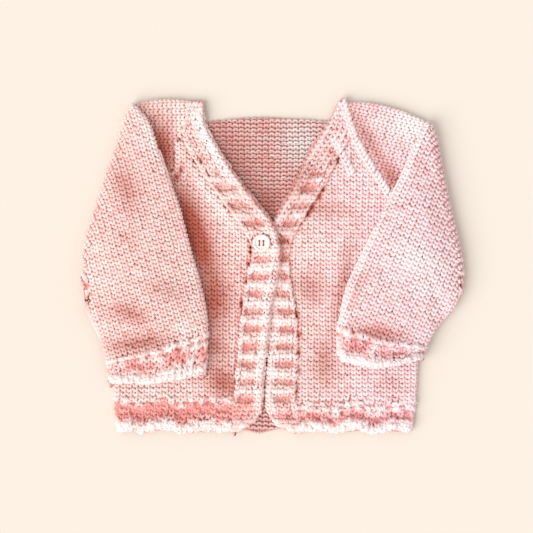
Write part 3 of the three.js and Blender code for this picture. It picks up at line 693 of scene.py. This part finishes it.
def hem_rows(side):
    """Four close rows of stitches along the wavy hem of one front."""
    first, last = SLITS[side].x_at(HEM_Y + 4), OUTER[side].x_at(HEM_Y + 4)
    count = int(abs(last - first) / 3.7)
    shares = (np.arange(count) + 0.5) / count
    u, share = (m.ravel() for m in np.meshgrid([0.2, 2.2, 4.3, 6.4], shares, indexing="ij"))
    x = mix(first, last, share)
    centres = np.stack([x, hem_line(x) + u], -1)
    return centres, np.tile([4.0, 0.0], (len(x), 1)), np.tile([0.0, 2.7], (len(x), 1))


def lay_half(side, name):
    arm = SLEEVES[side]
    stitches = grid((0, -1), (-112, HEM_Y - 1.4), (112, 92))
    x, y = stitches[0].T
    out, inn = OUTER[side].x_at(np.maximum(y, HEM_Y)), SLITS[side].x_at(y)
    spill = np.where(y < 18, -5.5, -0.2)
    keep = (((out - x) * side > spill) & ((x - inn) * side > -1.8) & (y < 88)
            & (y - hem_line(x) > 7.6))
    stitches = chosen(stitches, keep)
    stitches = chosen(stitches, arm.covers(*stitches[0].T) < 9)
    stitches = tuple(np.concatenate(pair) for pair in zip(stitches, hem_rows(side)))
    x, y = stitches[0].T
    up = y - hem_line(x)

    def shade_paint(x, y):
        # painted shade along the line of slits, with the border's painted groove shade and painted
        # ridge light
        up = y - hem_line(x)
        beside = bell((x - SLITS[side].x_at(y)) * side, -0.4, 1.5) * (up > CLEAR)
        return border_shade_depth(up, x, side), border_shade_light(up, x, side) + 0.55 * beside
    lay("knit_front_" + name, "front", with_normal(front_top(side)), stitches,
        face=border_face(up, side), thick=border_thick(up, side),
        rough=1 + 1.5 * smooth((24 - up) / 4), seed=11 + side, shade_paint=shade_paint)


def ladder(side, x, y):
    """Recess between two ridges, 0 to 1: a rounded lens, whose size, lean and level differ
    from one to the next."""
    t = band_share(side, x, y)
    level = ((y - RIDGE["top"]) / RIDGE["pitch"] + 0.04 * np.sin(2.3 * x + side)
             + 0.1 * (t - 0.6) * (y > 22))
    number = np.floor(level)
    t = t - 0.6 - 0.05 * np.sin(2.1 * number + side)
    wide = 0.29 + 0.06 * np.sin(3.7 * number + side)
    tall = 0.24 + 0.04 * np.sin(1.3 * number + 2 * side)
    level = level - number - 0.5 - 0.16 * t * np.sin(2.9 * number + 2)
    far = np.abs(t / wide) ** 3 + np.abs(level / tall) ** 2.2
    return smooth((1.35 - far) / 0.9) * (y < RIDGED_TO) * (y - HEM_Y > 17)


def lay_band(side, name):
    centres, wide, tall = band_stitches(side, 5)
    x, y = centres.T
    face = np.where(ladder(side, x, y) > 0.45, 0.6, 1.0)
    thick = np.where(y > RIDGED_TO, 1.0, 0.95 + 0.35 * ridges(y))

    def shade_paint(x, y):
        # painted shade in the recesses, along the free edge and beside the slits, painted light on the
        # ridges and on a strip near the free edge, and the border's painted groove shade
        t, up = band_share(side, x, y), y - hem_line(x)
        wave, recess = np.where(y > RIDGED_TO, 0.0, ridges(y)), ladder(side, x, y)
        edge = 0.4 * smooth((0.13 - t) / 0.1) * smooth((y + 10) / 20)
        ridge = 0.3 * wave * (1 - smooth((y - 22) / 6))
        beside = 0.4 * smooth((t - 0.94) / 0.1) - 0.25 * bell(t, 0.24, 0.1)
        painted_shade = 0.3 * recess + (edge - ridge + beside) * (up > CLEAR)
        return 0.12 * recess + border_shade_depth(up, x, side) * smooth((t - 0.15) / 0.2), painted_shade
    hidden = (side > 0) & (x < FREE[-1].x_at(y) - 6) & (y < LAP_HIGH) & (y > LAP_LOW)
    button = (side < 0) & (np.hypot(x - BUTTON_AT[0], y - BUTTON_AT[1]) < 3)
    keep = ~(hidden | button)
    lay("knit_band_" + name, "band", with_normal(band_top(side)),
        (centres[keep], wide[keep], tall[keep]), face=face[keep], thick=thick[keep],
        rough=1.9, seed=21 + side, shade_paint=shade_paint)


def lay_back():
    stitches = grid((0, -1), (-60, HEM_Y - 1.4), (56, 103))
    x, y = stitches[0].T
    edge = np.interp(x, NECK_LINE.dense[:, 0], NECK_LINE.dense[:, 1])
    between = (x > FREE[-1].x_at(y) - 9) & (x < FREE[1].x_at(y) + 9)
    keep = between & (y < edge + 0.6) & ((y > 28) | (y < -88))
    stitches = chosen(stitches, keep)
    # painted shade over the whole back inside the neck
    lay("knit_back", "back", with_normal(back_top), stitches, face=-1.0, thick=0.9, deep=0.12, seed=31)


def lay_sleeve(side, name):
    arm = SLEEVES[side]
    stitches = grid(arm.wale, (-150, -92), (150, 125))
    stitches = chosen(stitches, stitches[0][:, 0] * side > 30)
    on, e = arm.find(*stitches[0].T)
    gap = np.hypot(*(arm.flat(on, e) - stitches[0]).T)
    width = arm.width(on)
    past = 0.19 + 0.19 * smooth((e - 0.6) / 0.3) * (side > 0)
    keep = ((gap < 0.5) & (np.minimum(e, 1 - e) * width > -3.4)
            & ((1 - on) * arm.length > CLEAR) & (on > -past))
    # painted light along the arm's inner edge, stronger on the sleeve at +x
    painted_shade = (-0.12 if side < 0 else -0.45) * smooth((6 - e * width) / 3)[keep]
    lay("knit_sleeve_" + name, "arm", arm_surface(arm), chosen(stitches, keep), painted_shade=painted_shade,
        seed=41 + side)
    # cuff: rows that follow its bowed edge
    rows = [0.0, 2.0, 4.1, 6.3, 8.8, 11.4, 14.0, 16.6, 19.2]
    cuff_width = arm.width(np.array([0.95]))[0]
    count = int(round(cuff_width / STITCH_WIDE))
    shares = (np.arange(-1, count + 1) + 0.5) / count
    u, e = (m.ravel() for m in np.meshgrid(rows, shares, indexing="ij"))
    on = 1 - u / arm.length
    centres = arm.flat(on, e)
    h = 0.01
    wide = (arm.flat(on, e + h) - arm.flat(on, e - h)) / (2 * h) / count
    tall = (arm.flat(on - h, e) - arm.flat(on + h, e)) / (2 * h) / arm.length * 2.7
    wide = wide * np.sign(wide[:, 0] * tall[:, 1] - wide[:, 1] * tall[:, 0])[:, None]

    def shade_paint(x, y):
        on, e = arm.find(x, y)
        up, run = (1 - on) * arm.length, e * cuff_width + 9 * (side > 0)
        return border_shade_depth(up, run, 0), border_shade_light(up, run, 0)
    lay("knit_cuff_" + name, "arm", arm_surface(arm), (centres, wide, tall), face=border_face(u, 0),
        thick=border_thick(u, 0), rough=2.5, seed=51 + side, shade_paint=shade_paint)
    # cap: wales along the shoulder
    lean = np.array(arm.table["crease"][0]) - np.array(RAGLAN[side][0])
    stitches = grid(lean, (-130, -10), (130, 118))
    x, y = stitches[0].T
    raglan, crease = RAGLAN_LINE[side].x_at(y), arm.crease.x_at(y)
    keep = (((x - raglan) * side > -0.5) & ((crease - x) * side > -2)
            & (y < arm.shoulder(x) + 5.5) & (y > 15))
    stitches = chosen(stitches, keep)
    stitches = chosen(stitches, arm.covers(*stitches[0].T) < 9)
    lay("knit_cap_" + name, "cap", with_normal(arm.cap_top), stitches, seed=61 + side)


# raised chains of stitches beside the raglans and the V, in order: name, points down the chain
CHAINS = [
    ("front_left", [(46.6, 112.0), (50.6, 102.0), (53.6, 92.4), (57.8, 81.6), (66.3, 68.0),
                    (77.2, 51.0), (84.0, 40.0)]),
    ("front_left", [(40.4, 88.4), (43.2, 82.4), (47.0, 75.4), (50.6, 69.0), (53.6, 62.6)]),
]


def lay_chains():
    """Each chain is one column of stitches that follows its line and stands a little proud."""
    for k, (name, rows) in enumerate(CHAINS):
        line = Line(rows)
        count = int(line.run[-1] / 2.9)
        share = (np.arange(count) + 0.5) / count
        centres = line.along(share)
        down = line.along(np.minimum(share + 0.01, 1)) - line.along(np.maximum(share - 0.01, 0))
        down /= np.hypot(*down.T)[:, None]
        wide = np.stack([-down[:, 1], down[:, 0]], -1)
        tall = (0.55 * wide - down) * 2.6

        def raised(x, y):
            return np.stack([x, y, FRONT_TOP + 1.2 + 0 * x], -1)
        # the chains get painted light
        lay("knit_chain_" + name, "front", with_normal(raised), (centres, wide * 5.2, tall),
            thick=1.15, deep=-0.1, painted_shade=-0.25, rough=1.5, seed=71 + k)


for side, name in ((-1, "right"), (1, "left")):
    lay_half(side, name)
    lay_band(side, name)
    lay_sleeve(side, name)
lay_back()
lay_chains()


class Nodes:
    """A material's nodes, written as expressions."""

    def __init__(self, name):
        self.material = bpy.data.materials.new(name)
        self.material.use_nodes = True
        self.tree = self.material.node_tree
        self.tree.nodes.clear()

    def add(self, kind, settings=None, **values):
        """A node of a type: its settings first, then values or links for its sockets."""
        node = self.tree.nodes.new(kind)
        for key, value in (settings or {}).items():
            if key == "stops":
                ramp = node.color_ramp.elements
                while len(ramp) < len(value):
                    ramp.new(0.5)
                for stop, (place, colour) in zip(ramp, value):
                    stop.position, stop.color = place, (*colour, 1)
            else:
                setattr(node, key, value)
        for key, value in values.items():
            words = key.replace("_", " ")
            numbered = key[0] == "i" and key[1:].isdigit()
            socket = node.inputs[int(key[1:])] if numbered else node.inputs[words]
            if isinstance(value, Value):
                self.tree.links.new(value.socket, socket)
            elif value is not None:
                socket.default_value = value
        return node

    def value(self, node, output):
        return Value(self, node.outputs[output])

    def colour_mix(self, factor, a, b):
        node = self.add("ShaderNodeMix", {"data_type": "RGBA"}, i0=factor, i6=a, i7=b)
        return Value(self, node.outputs[2])

    def place(self):
        return self.value(self.add("ShaderNodeTexCoord"), "Object")

    def noise(self, place, scale, detail=2.0):
        node = self.add("ShaderNodeTexNoise", None, Vector=place, Scale=scale, Detail=detail)
        return self.value(node, "Fac")

    def surface(self, **values):
        return self.add("ShaderNodeBsdfPrincipled", None, **values)

    def attribute(self, name):
        return self.value(self.add("ShaderNodeAttribute", {"attribute_name": name}), "Fac")

    def finish(self, shader):
        out = self.add("ShaderNodeOutputMaterial")
        self.tree.links.new(shader.outputs[0], out.inputs["Surface"])
        return self.material


class Value:
    """One socket, with sums and products that add Math nodes."""

    def __init__(self, nodes, socket):
        self.nodes, self.socket = nodes, socket

    def _math(self, operation, a, b):
        node = self.nodes.add("ShaderNodeMath", {"operation": operation}, i0=a, i1=b)
        return Value(self.nodes, node.outputs[0])

    def __add__(self, other):
        return self._math("ADD", self, other)

    __radd__ = __add__

    def __mul__(self, other):
        return self._math("MULTIPLY", self, other)

    __rmul__ = __mul__

    def __sub__(self, other):
        return self._math("SUBTRACT", self, other)

    def __rsub__(self, other):
        return self._math("SUBTRACT", other, self)


# The pale colours are the yarn's own. The rose ones are painted shade where the yarn sinks, mixed with
# random tone, and the deepest rose is painted shade in grooves. The last row holds the painted fold
# shade, the painted highlight and the painted shade for inside the neck.
PALE, COOL = (0.98, 0.79, 0.765, 1), (0.97, 0.80, 0.84, 1)
ROSE, COOL_ROSE, DEEP_ROSE_SHADE = (0.93, 0.42, 0.38, 1), (0.90, 0.46, 0.48, 1), (0.66, 0.22, 0.25, 1)
FOLD_SHADE, LIT, INSIDE_SHADE = (0.52, 0.12, 0.075, 1), (1.0, 0.96, 0.95, 1), (0.12, 0.09, 0.075, 1)


def yarn_material(name, inside_shade):
    """Soft pink yarn: pale on the crown of a loop, with painted shade where it sinks, painted fold
    shade, a painted highlight and twisted plies. It is darker by a share of painted shade inside the
    neck."""
    m = Nodes(name)
    place = m.place()
    cloud = m.noise(place, 260.0)
    tone, deep = m.attribute("tone"), m.attribute("deep")
    across = m.value(m.add("ShaderNodeSeparateXYZ", None, Vector=place), "X")
    crown = m.colour_mix(across * 11.0, PALE, COOL)
    foot = m.colour_mix(across * 11.0, ROSE, COOL_ROSE)
    # painted shade: the yarn turns rose with its painted depth, mixed with random tone and mottling,
    # and deeper rose deep in grooves
    body = m.colour_mix(deep * 1.25 + tone * 0.12 + cloud * 0.3 - 0.1, crown, foot)
    sunk_shade = m.colour_mix(deep - 0.6, body, DEEP_ROSE_SHADE)
    shade = m.attribute("shade")
    # painted highlight where the shade is below 0, and painted fold shade where it is above 0
    lit = m.colour_mix((shade * -1.0) * (1.3 - deep), sunk_shade, LIT)
    colour = m.colour_mix(shade, lit, FOLD_SHADE)
    colour = m.colour_mix(inside_shade, colour, INSIDE_SHADE) if inside_shade else colour
    along = m.value(m.add("ShaderNodeUVMap", {"uv_map": "yarn"}), "UV")
    ply = m.value(m.add("ShaderNodeTexWave", {"wave_type": "BANDS", "bands_direction": "DIAGONAL"},
                        Vector=along, Scale=2.2, Distortion=0.6), "Fac")
    fuzz = m.noise(place, 2600.0)
    bump = m.add("ShaderNodeBump", None, Strength=0.5, Distance=0.0003, Height=ply * 0.6 + fuzz * 0.5)
    shader = m.surface(Base_Color=colour, Roughness=0.62, Normal=m.value(bump, "Normal"),
                       Sheen_Weight=0.3, Sheen_Roughness=0.4)
    shader.inputs["Sheen Tint"].default_value = (1.0, 0.9, 0.88, 1)
    return m.finish(shader)


def cloth_material():
    """The cloth between the loops: darker rose than the yarn, as painted shade, mottled."""
    m = Nodes("rose_cloth_shaded")
    place = m.place()
    cloud = m.noise(place, 380.0, 3.0)
    colour = m.colour_mix(cloud, (0.78, 0.30, 0.27, 1), (0.88, 0.42, 0.38, 1))
    bump = m.add("ShaderNodeBump", None, Strength=0.6, Distance=0.0006, Height=cloud)
    return m.finish(m.surface(Base_Color=colour, Roughness=0.85, Normal=m.value(bump, "Normal")))


def pearl_material():
    """Pearly button: cream with soft cloudy bands and a clear gloss."""
    m = Nodes("pearl_button")
    place = m.place()
    cloud = m.noise(place, 240.0)
    colour = m.colour_mix(cloud, (0.94, 0.90, 0.87, 1), (0.86, 0.76, 0.72, 1))
    return m.finish(m.surface(Base_Color=colour, Roughness=0.22, Coat_Weight=0.5))


def thread_colour():
    """Dark reddish sewing thread."""
    m = Nodes("sewing_thread")
    return m.finish(m.surface(Base_Color=(0.24, 0.06, 0.05, 1), Roughness=0.7))


def floor_material():
    """Plain cream paper."""
    m = Nodes("cream_floor")
    place = m.place()
    grain = m.noise(place, 60.0)
    colour = m.colour_mix(grain, FLOOR_COLOUR, tuple(0.995 * c for c in FLOOR_COLOUR[:3]) + (1,))
    return m.finish(m.surface(Base_Color=colour, Roughness=1.0, Specular_IOR_Level=0.0))


FLOOR_COLOUR = (0.765, 0.722, 0.655, 1)
YARN_PINK, YARN_SHADED = yarn_material("pink_yarn", 0), yarn_material("pink_yarn_shaded", 0.22)
ROSE_CLOTH_SHADED, PEARL = cloth_material(), pearl_material()
thread_material = thread_colour()

low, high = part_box("button")
SHIFT = np.array([(low.x + high.x) / 2 / MM - BUTTON_AT[0],
                  (low.y + high.y) / 2 / MM - BUTTON_AT[1], 0])


def piece(name, points, faces, material):
    """A mesh in metres from millimetre points and lists of faces, smooth, riding on the body."""
    mesh = bpy.data.meshes.new(name)
    counts = np.concatenate([np.full(len(f), f.shape[1]) for f in faces])
    corners = np.concatenate([f.ravel() for f in faces])
    mesh.vertices.add(len(points))
    mesh.vertices.foreach_set("co", ((points + SHIFT) * MM).astype(np.float32).ravel())
    mesh.loops.add(len(corners))
    mesh.loops.foreach_set("vertex_index", corners.astype(np.int32))
    mesh.polygons.add(len(counts))
    mesh.polygons.foreach_set("loop_start", (np.cumsum(counts) - counts).astype(np.int32))
    mesh.polygons.foreach_set("use_smooth", np.ones(len(counts), bool))
    mesh.update(calc_edges=True)
    mesh.validate()
    mesh.materials.append(material)
    obj = bpy.data.objects.new(name, mesh)
    bpy.context.scene.collection.objects.link(obj)
    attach(obj, "root")
    return obj


def read(rows, word, kind):
    """One value after another from every row of a mesh's data."""
    data = np.empty(len(rows) * (3 if word == "co" else 1), kind)
    rows.foreach_get(word, data)
    return data


def yarn_piece(name, parts):
    """Joins the loops of several runs into one piece, with its tone, its painted shade and light, and
    its yarn map.
    """
    shift, points, quads, caps = 0, [], [], []
    for part in parts:
        points.append(part["points"])
        quads.append(part["quads"] + shift)
        caps.append(part["triangles"] + shift)
        shift += len(part["points"])
    obj = piece(name, np.concatenate(points), [np.concatenate(quads), np.concatenate(caps)],
                YARN_SHADED if name == "yarn_back" else YARN_PINK)
    for word in ("tone", "deep", "shade"):
        data = np.concatenate([part[word] for part in parts]).astype(np.float32)
        obj.data.attributes.new(word, "FLOAT", "POINT").data.foreach_set("value", data)
    per = PATH_POINTS * TUBE_SIDES + 2
    ring = np.arange(per)
    u, v = ring // TUBE_SIDES * 1.2, ring % TUBE_SIDES / TUBE_SIDES
    corner = read(obj.data.loops, "vertex_index", np.int32) % per
    uv = obj.data.uv_layers.new(name="yarn")
    uv.data.foreach_set("uv", np.stack([u[corner], v[corner]], -1).astype(np.float32).ravel())
    return obj


def shell(node):
    """The cloth itself: a node's own form, drawn in a little from both faces."""
    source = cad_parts[node].data
    co = read(source.vertices, "co", np.float32).reshape(-1, 3).astype(float)
    faces = read(source.loops, "vertex_index", np.int32).reshape(-1, 3)
    merged, first = np.unique(np.round(co / 2e-6).astype(np.int64), axis=0, return_inverse=True)
    points = np.zeros((len(merged), 3))
    points[first.ravel()] = co
    faces = first.ravel()[faces]
    faces = faces[np.all(faces != np.roll(faces, 1, axis=1), axis=1)]
    a, b, c = (points[faces[:, k]] for k in range(3))
    flat = np.cross(b - a, c - a)
    normal = np.zeros_like(points)
    for k in range(3):
        np.add.at(normal, faces[:, k], flat)
    normal /= np.maximum(np.linalg.norm(normal, axis=1, keepdims=True), 1e-12)
    points = (points - normal * (0.92 + 0.68 * normal[:, 2:]) * MM) / MM - SHIFT
    kind = "sleeve" if "sleeve" in node else "front" if "front" in node else None
    if kind:
        above = smooth((points[:, 2] - 5) / 3) if kind == "sleeve" else 1.0
        points[:, 2] += bells(CREASES[kind], points[:, 0], points[:, 1]) * above
    obj = piece("cloth_" + node, points, [faces], ROSE_CLOTH_SHADED)
    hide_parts(node)
    return obj


RUNS = {
    "back": ["back"],
    "front_right": ["front_right"],
    "front_left": ["front_left", "chain_front_left"],
    "band_right": ["band_right"],
    "band_left": ["band_left"],
    "sleeve_right": ["sleeve_right", "cuff_right", "cap_right"],
    "sleeve_left": ["sleeve_left", "cuff_left", "cap_left"],
}
for node, runs in RUNS.items():
    parts = [part for part in knitting if part["name"] in ["knit_" + run for run in runs]]
    yarn_piece("yarn_" + node, parts)
# flat cut of each panel, in metres: widest and longest, and its real area
CUTS = {
    "back": ((0.206, 0.224), 0.0385, "laid", []),
    "front_right": ((0.092, 0.198), 0.0136, "laid", ["cloth_back"]),
    "front_left": ((0.086, 0.198), 0.0142, "laid", ["cloth_back"]),
    "band_right": ((0.024, 0.26), 0.0048, "laid", ["cloth_back", "cloth_band_left"]),
    "band_left": ((0.022, 0.25), 0.0044, "laid", ["cloth_back"]),
    "sleeve_right": ((0.28, 0.175), 0.0400, "folded", ["cloth_front_right"]),
    "sleeve_left": ((0.25, 0.160), 0.0340, "folded", ["cloth_front_left"]),
}
shells = {node: shell(node) for node in CUTS}


def strand(start, end, radius):
    """A short strand of thread, bowed up between its ends: one tube with closed ends."""
    t = np.linspace(0, 1, 7)
    line = mix(np.array(start, float), np.array(end, float), t[:, None])
    line[:, 2] += 0.5 * np.sin(np.pi * t)
    angle = 2 * np.pi * np.arange(8) / 8
    across = np.array([end[1] - start[1], start[0] - end[0], 0.0])
    across /= np.linalg.norm(across)
    ring = across * np.cos(angle)[:, None] + np.array([0, 0, 1.0]) * np.sin(angle)[:, None]
    points = (line[:, None] + ring * radius).reshape(-1, 3)
    return points, tube(7, 8), np.array([np.arange(8)[::-1], 48 + np.arange(8)])


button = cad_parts["button"]
top_z = high.z / MM - 0.9
THREADS = [((-8.9, 17.5), (-8.9, 14.7)), ((-5.9, 17.7), (-6.4, 14.9))]
for k, (start, end) in enumerate(THREADS):
    points, quads, ends = strand((*start, top_z), (*end, top_z), 0.34)
    piece("button_thread_" + str(k + 1), points, [quads, ends], thread_material)
button.data.materials.clear()
button.data.materials.append(PEARL)

scene = bpy.context.scene
scene.view_settings.view_transform = "Standard"
centre = SHIFT * MM

floor_mesh = bpy.data.meshes.new("floor")
floor_mesh.from_pydata([(-4, -4, 0), (4, -4, 0), (4, 4, 0), (-4, 4, 0)], [], [(0, 1, 2, 3)])
floor_mesh.materials.append(floor_material())
floor = bpy.data.objects.new("floor", floor_mesh)
floor.location.z = -0.0002
scene.collection.objects.link(floor)


def far_light(name, direction, strength, softness, colour):
    """Even light from far away, from a direction, with a softness in degrees."""
    data = bpy.data.lights.new(name, "SUN")
    data.energy, data.angle, data.color = strength, math.radians(softness), colour
    lamp = bpy.data.objects.new(name, data)
    lamp.rotation_euler = Vector(direction).to_track_quat("Z", "Y").to_euler()
    scene.collection.objects.link(lamp)


far_light("window", (-0.62, -0.46, 0.66), 2.5, 50.0, (1.0, 0.985, 0.96))
world = bpy.data.worlds.new("soft_room")
world.use_nodes = True
world.node_tree.nodes["Background"].inputs["Color"].default_value = (1.0, 0.93, 0.90, 1)
world.node_tree.nodes["Background"].inputs["Strength"].default_value = 0.78
scene.world = world

camera_data = bpy.data.cameras.new("camera")
camera_data.lens, camera_data.sensor_width, camera_data.clip_start = 85.0, 36.0, 0.01
camera = bpy.data.objects.new("camera", camera_data)
frame_side = PHOTO_SIDE * PHOTO_MM * MM
camera.location = (centre[0] - 4.08 * MM, centre[1] + 0.34 * MM, frame_side * 85.0 / 36.0)
scene.collection.objects.link(camera)
scene.camera = camera
